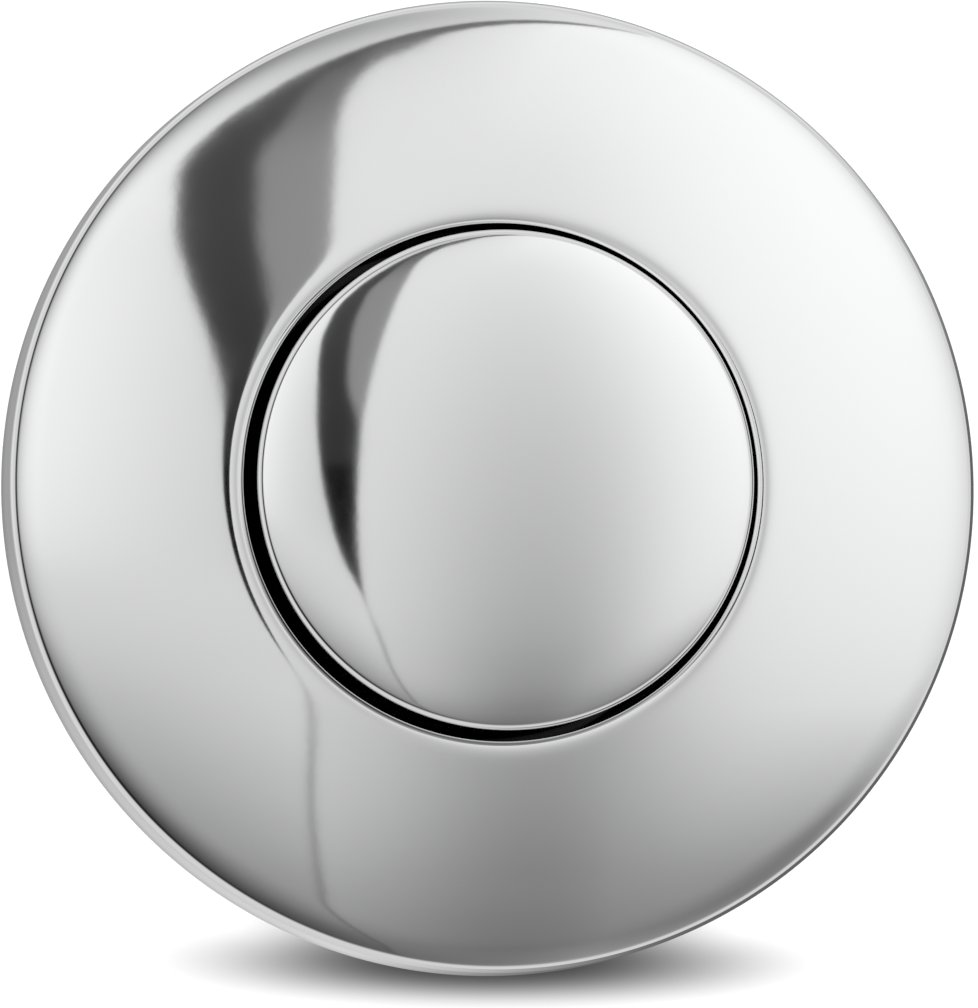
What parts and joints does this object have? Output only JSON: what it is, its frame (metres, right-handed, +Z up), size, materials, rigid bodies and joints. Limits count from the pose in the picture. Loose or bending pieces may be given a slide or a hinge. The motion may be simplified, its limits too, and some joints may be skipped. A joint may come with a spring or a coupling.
{
  "type": "sink top air switch",
  "caption": "Domed round push button in a domed escutcheon; its stem squeezes a bellows under the sink top and sends air through a hose barb.",
  "frame": {"origin": "on the button's axis, level with the gasket's underside, which lies on the sink top", "axes": "+Z up along the button's axis, out of the sink top; the part is turned about it"},
  "size_m": [0.048, 0.048, 0.0703],
  "materials": {
    "polished_chrome": "mirror-polished chrome plate",
    "black_moulding": "black moulded plastic, fine matt",
    "white_acetal": "natural white acetal",
    "black_rubber": "black moulded rubber",
    "spring_steel": "bright stainless wire and strip",
    "turned_brass": "turned brass"
  },
  "bodies": {
    "housing": {"housing": "black_moulding", "escutcheon": "polished_chrome", "escutcheon_ring": "black_rubber", "deck_gasket": "black_rubber", "guide_bush": "white_acetal", "return_spring": "spring_steel", "bellows": "black_rubber", "bellows_ring": "black_moulding", "end_cap": "black_moulding", "end_cap_ring": "black_rubber", "hose_barb": "turned_brass", "barb_seal": "black_rubber"},
    "button": {"button_cap": "polished_chrome", "plunger": "white_acetal", "cap_ring": "black_rubber", "stop_washer": "black_rubber", "retaining_clip": "spring_steel", "thrust_cup": "white_acetal"},
    "clamp_washers": {"clamp_washer": "black_rubber", "slip_washer": "white_acetal"},
    "nut": {"lock_nut": "black_moulding"}
  },
  "joints": [
    {"name": "button_press", "type": "slide", "parent": "housing", "child": "button", "axis": [0, 0, -1], "range_m": [0, 0.005], "stiffness_N_per_m": 800, "springref_m": -0.004, "deforming": ["return_spring", "bellows"]},
    {"name": "washer_travel", "type": "slide", "parent": "housing", "child": "clamp_washers", "axis": [0, 0, 1], "range_m": [-0.0121, 0.0181]},
    {"name": "nut_turn", "type": "hinge", "parent": "clamp_washers", "child": "nut", "pos_m": [0, 0, -0.0272], "axis": [0, 0, 1], "range_deg": [-2160, 3240]}
  ],
  "couplings": [
    {"joint": "washer_travel", "follows": "nut_turn", "m_per_rad": 0.00031831}
  ]
}
